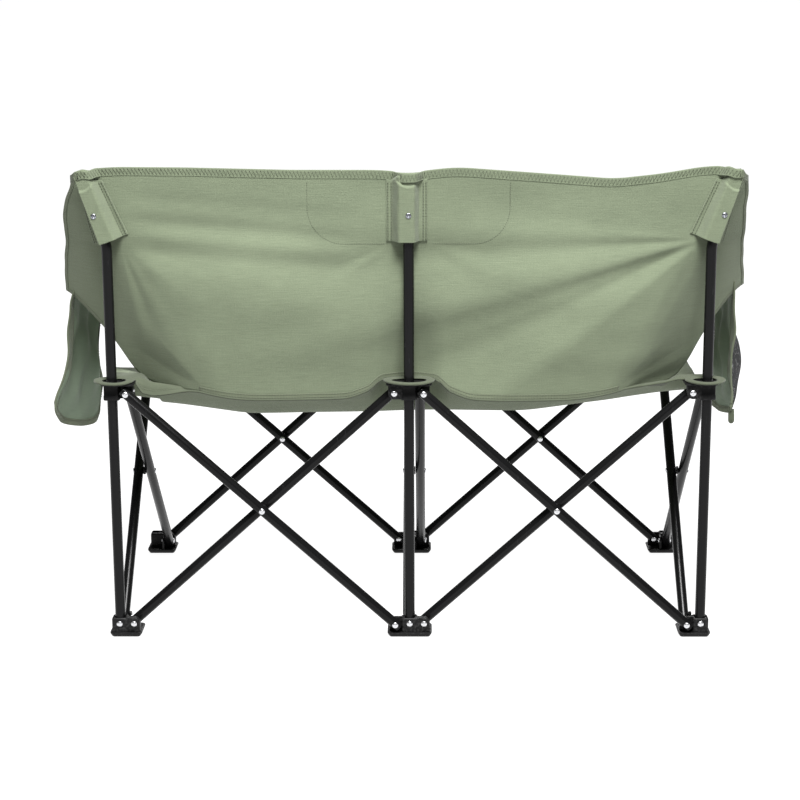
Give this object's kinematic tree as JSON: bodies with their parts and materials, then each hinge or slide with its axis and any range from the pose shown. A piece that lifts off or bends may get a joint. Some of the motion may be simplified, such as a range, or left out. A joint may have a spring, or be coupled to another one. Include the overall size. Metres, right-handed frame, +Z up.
{
  "type": "folding camping loveseat",
  "caption": "Folding camping loveseat: sage cloth back, seat and arms slung on a black tube scissor frame that gathers into a bundle, with hanging mesh side pockets.",
  "frame": {"origin": "middle of the centre rear foot's sole, on the floor", "axes": "+X to the sitter's right, +Y the way a sitter faces, +Z up"},
  "size_m": [1.3244, 0.612, 0.8803],
  "materials": {
    "frame_tube": "black powder coat on steel tube",
    "moulded_plastic": "black moulded nylon",
    "zinc_fixings": "zinc plated rivets and screws",
    "cloth": "sage green woven polyester",
    "pocket_mesh": "black open mesh"
  },
  "bodies": {
    "rear_centre_post": {"rear_centre_foot": "moulded_plastic", "rear_centre_upright": "frame_tube", "rear_centre_cap": "moulded_plastic", "rear_centre_sleeve": "cloth", "rear_centre_screw": "zinc_fixings", "back_cloth": "cloth", "back_patch": "cloth"},
    "rear_left_post": {"rear_left_foot": "moulded_plastic", "rear_left_upright": "frame_tube", "rear_left_cap": "moulded_plastic", "rear_left_sleeve": "cloth", "rear_left_screw": "zinc_fixings"},
    "rear_left_hub": {"rear_left_hub": "moulded_plastic"},
    "front_left_foot": {"front_left_foot": "moulded_plastic"},
    "front_left_hub": {"front_left_hub": "moulded_plastic", "left_arm_post": "frame_tube", "left_arm_post_cap": "moulded_plastic", "left_arm": "cloth", "left_flap": "cloth", "left_mesh_pocket": "pocket_mesh"},
    "rear_right_post": {"rear_right_foot": "moulded_plastic", "rear_right_upright": "frame_tube", "rear_right_cap": "moulded_plastic", "rear_right_sleeve": "cloth", "rear_right_screw": "zinc_fixings"},
    "rear_right_hub": {"rear_right_hub": "moulded_plastic"},
    "front_right_foot": {"front_right_foot": "moulded_plastic"},
    "front_right_hub": {"front_right_hub": "moulded_plastic", "right_arm_post": "frame_tube", "right_arm_post_cap": "moulded_plastic", "right_arm": "cloth", "right_flap": "cloth", "right_mesh_pocket": "pocket_mesh"},
    "rear_centre_hub": {"rear_centre_hub": "moulded_plastic"},
    "seat_rear": {"seat_rear_cloth": "cloth"},
    "seat_front": {"seat_front_cloth": "cloth"},
    "front_centre_foot": {"front_centre_foot": "moulded_plastic"},
    "front_centre_hub": {"front_centre_hub": "moulded_plastic", "front_centre_cap": "moulded_plastic"},
    "rear_left_tube_a": {"rear_left_tube_a": "frame_tube", "rear_left_rivet": "zinc_fixings"},
    "rear_left_tube_b": {"rear_left_tube_b": "frame_tube"},
    "rear_right_tube_a": {"rear_right_tube_a": "frame_tube"},
    "rear_right_tube_b": {"rear_right_tube_b": "frame_tube", "rear_right_rivet": "zinc_fixings"},
    "front_left_tube_a": {"front_left_tube_a": "frame_tube", "front_left_rivet": "zinc_fixings"},
    "front_left_tube_b": {"front_left_tube_b": "frame_tube"},
    "front_right_tube_a": {"front_right_tube_a": "frame_tube"},
    "front_right_tube_b": {"front_right_tube_b": "frame_tube", "front_right_rivet": "zinc_fixings"},
    "side_left_tube_a": {"side_left_tube_a": "frame_tube", "side_left_rivet": "zinc_fixings"},
    "side_left_tube_b": {"side_left_tube_b": "frame_tube"},
    "side_centre_tube_a": {"side_centre_tube_a": "frame_tube", "side_centre_rivet": "zinc_fixings"},
    "side_centre_tube_b": {"side_centre_tube_b": "frame_tube"},
    "side_right_tube_a": {"side_right_tube_a": "frame_tube", "side_right_rivet": "zinc_fixings"},
    "side_right_tube_b": {"side_right_tube_b": "frame_tube"}
  },
  "joints": [
    {"name": "fold", "type": "hinge", "parent": "rear_centre_post", "child": "rear_left_tube_a", "pos_m": [-0.027, -0.0118, 0.025], "axis": [0, 1, 0], "range_deg": [0, 42], "deforming": ["back_cloth", "back_patch", "seat_rear_cloth", "seat_front_cloth", "left_arm", "left_flap", "left_mesh_pocket", "right_arm", "right_flap", "right_mesh_pocket"]},
    {"name": "rear_left_hub_pin", "type": "hinge", "parent": "rear_left_tube_a", "child": "rear_left_hub", "pos_m": [-0.519, -0.0118, 0.469], "axis": [0, 1, 0], "range_deg": [-42, 0]},
    {"name": "rear_left_cross", "type": "hinge", "parent": "rear_left_tube_a", "child": "rear_left_tube_b", "pos_m": [-0.273, 0, 0.247], "axis": [0, 1, 0], "range_deg": [-84, 0]},
    {"name": "rear_left_foot_pin", "type": "hinge", "parent": "rear_left_tube_b", "child": "rear_left_post", "pos_m": [-0.519, 0.0118, 0.025], "axis": [0, 1, 0], "range_deg": [0, 42]},
    {"name": "rear_centre_hub_pin", "type": "hinge", "parent": "rear_left_tube_b", "child": "rear_centre_hub", "pos_m": [-0.027, 0.0118, 0.469], "axis": [0, 1, 0], "range_deg": [0, 42]},
    {"name": "rear_right_base_pin", "type": "hinge", "parent": "rear_centre_post", "child": "rear_right_tube_b", "pos_m": [0.027, 0.0118, 0.025], "axis": [0, 1, 0], "range_deg": [-42, 0]},
    {"name": "rear_right_hub_pin", "type": "hinge", "parent": "rear_right_tube_b", "child": "rear_right_hub", "pos_m": [0.519, 0.0118, 0.469], "axis": [0, 1, 0], "range_deg": [0, 42]},
    {"name": "rear_right_cross", "type": "hinge", "parent": "rear_right_tube_b", "child": "rear_right_tube_a", "pos_m": [0.273, 0, 0.247], "axis": [0, 1, 0], "range_deg": [0, 84]},
    {"name": "rear_right_foot_pin", "type": "hinge", "parent": "rear_right_tube_a", "child": "rear_right_post", "pos_m": [0.519, -0.0118, 0.025], "axis": [0, 1, 0], "range_deg": [-42, 0]},
    {"name": "side_centre_base_pin", "type": "hinge", "parent": "rear_centre_post", "child": "side_centre_tube_a", "pos_m": [-0.0038, 0.027, 0.025], "axis": [1, 0, 0], "range_deg": [0, 42]},
    {"name": "front_centre_hub_pin", "type": "hinge", "parent": "side_centre_tube_a", "child": "front_centre_hub", "pos_m": [-0.0038, 0.519, 0.469], "axis": [1, 0, 0], "range_deg": [-42, 0]},
    {"name": "side_centre_cross", "type": "hinge", "parent": "side_centre_tube_a", "child": "side_centre_tube_b", "pos_m": [0.008, 0.273, 0.247], "axis": [1, 0, 0], "range_deg": [-84, 0]},
    {"name": "front_centre_foot_pin", "type": "hinge", "parent": "side_centre_tube_b", "child": "front_centre_foot", "pos_m": [0.0198, 0.519, 0.025], "axis": [1, 0, 0], "range_deg": [0, 42]},
    {"name": "front_left_base_pin", "type": "hinge", "parent": "front_centre_foot", "child": "front_left_tube_a", "pos_m": [-0.027, 0.5342, 0.025], "axis": [0, 1, 0], "range_deg": [0, 42]},
    {"name": "front_left_hub_pin", "type": "hinge", "parent": "front_left_tube_a", "child": "front_left_hub", "pos_m": [-0.519, 0.5342, 0.469], "axis": [0, 1, 0], "range_deg": [-42, 0]},
    {"name": "front_left_cross", "type": "hinge", "parent": "front_left_tube_a", "child": "front_left_tube_b", "pos_m": [-0.273, 0.546, 0.247], "axis": [0, 1, 0], "range_deg": [-84, 0]},
    {"name": "front_left_foot_pin", "type": "hinge", "parent": "front_left_tube_b", "child": "front_left_foot", "pos_m": [-0.519, 0.5578, 0.025], "axis": [0, 1, 0], "range_deg": [0, 42]},
    {"name": "front_right_base_pin", "type": "hinge", "parent": "front_centre_foot", "child": "front_right_tube_b", "pos_m": [0.027, 0.5578, 0.025], "axis": [0, 1, 0], "range_deg": [-42, 0]},
    {"name": "front_right_hub_pin", "type": "hinge", "parent": "front_right_tube_b", "child": "front_right_hub", "pos_m": [0.519, 0.5578, 0.469], "axis": [0, 1, 0], "range_deg": [0, 42]},
    {"name": "front_right_cross", "type": "hinge", "parent": "front_right_tube_b", "child": "front_right_tube_a", "pos_m": [0.273, 0.546, 0.247], "axis": [0, 1, 0], "range_deg": [0, 84]},
    {"name": "front_right_foot_pin", "type": "hinge", "parent": "front_right_tube_a", "child": "front_right_foot", "pos_m": [0.519, 0.5342, 0.025], "axis": [0, 1, 0], "range_deg": [-42, 0]},
    {"name": "side_left_base_pin", "type": "hinge", "parent": "rear_left_post", "child": "side_left_tube_a", "pos_m": [-0.5428, 0.027, 0.025], "axis": [1, 0, 0], "range_deg": [0, 42]},
    {"name": "side_left_cross", "type": "hinge", "parent": "side_left_tube_a", "child": "side_left_tube_b", "pos_m": [-0.531, 0.273, 0.247], "axis": [1, 0, 0], "range_deg": [-84, 0]},
    {"name": "side_right_base_pin", "type": "hinge", "parent": "rear_right_post", "child": "side_right_tube_a", "pos_m": [0.5192, 0.027, 0.025], "axis": [1, 0, 0], "range_deg": [0, 42]},
    {"name": "side_right_cross", "type": "hinge", "parent": "side_right_tube_a", "child": "side_right_tube_b", "pos_m": [0.531, 0.273, 0.247], "axis": [1, 0, 0], "range_deg": [-84, 0]},
    {"name": "seat_rear_fold", "type": "hinge", "parent": "rear_centre_hub", "child": "seat_rear", "pos_m": [0, 0.036, 0.4898], "axis": [1, 0, 0], "range_deg": [-70, 0]},
    {"name": "seat_front_fold", "type": "hinge", "parent": "front_centre_hub", "child": "seat_front", "pos_m": [0, 0.51, 0.4898], "axis": [1, 0, 0], "range_deg": [0, 70]}
  ],
  "couplings": [
    {"joint": "rear_left_hub_pin", "follows": "fold", "ratio": -1},
    {"joint": "rear_left_cross", "follows": "fold", "ratio": -2},
    {"joint": "rear_left_foot_pin", "follows": "fold", "ratio": 1},
    {"joint": "rear_centre_hub_pin", "follows": "fold", "ratio": 1},
    {"joint": "rear_right_base_pin", "follows": "fold", "ratio": -1},
    {"joint": "rear_right_hub_pin", "follows": "fold", "ratio": 1},
    {"joint": "rear_right_cross", "follows": "fold", "ratio": 2},
    {"joint": "rear_right_foot_pin", "follows": "fold", "ratio": -1},
    {"joint": "side_centre_base_pin", "follows": "fold", "ratio": 1},
    {"joint": "front_centre_hub_pin", "follows": "fold", "ratio": -1},
    {"joint": "side_centre_cross", "follows": "fold", "ratio": -2},
    {"joint": "front_centre_foot_pin", "follows": "fold", "ratio": 1},
    {"joint": "front_left_base_pin", "follows": "fold", "ratio": 1},
    {"joint": "front_left_hub_pin", "follows": "fold", "ratio": -1},
    {"joint": "front_left_cross", "follows": "fold", "ratio": -2},
    {"joint": "front_left_foot_pin", "follows": "fold", "ratio": 1},
    {"joint": "front_right_base_pin", "follows": "fold", "ratio": -1},
    {"joint": "front_right_hub_pin", "follows": "fold", "ratio": 1},
    {"joint": "front_right_cross", "follows": "fold", "ratio": 2},
    {"joint": "front_right_foot_pin", "follows": "fold", "ratio": -1},
    {"joint": "side_left_base_pin", "follows": "fold", "ratio": 1},
    {"joint": "side_left_cross", "follows": "fold", "ratio": -2},
    {"joint": "side_right_base_pin", "follows": "fold", "ratio": 1},
    {"joint": "side_right_cross", "follows": "fold", "ratio": -2},
    {"joint": "seat_rear_fold", "follows": "fold", "ratio": -1.6667},
    {"joint": "seat_front_fold", "follows": "fold", "ratio": 1.6667}
  ]
}
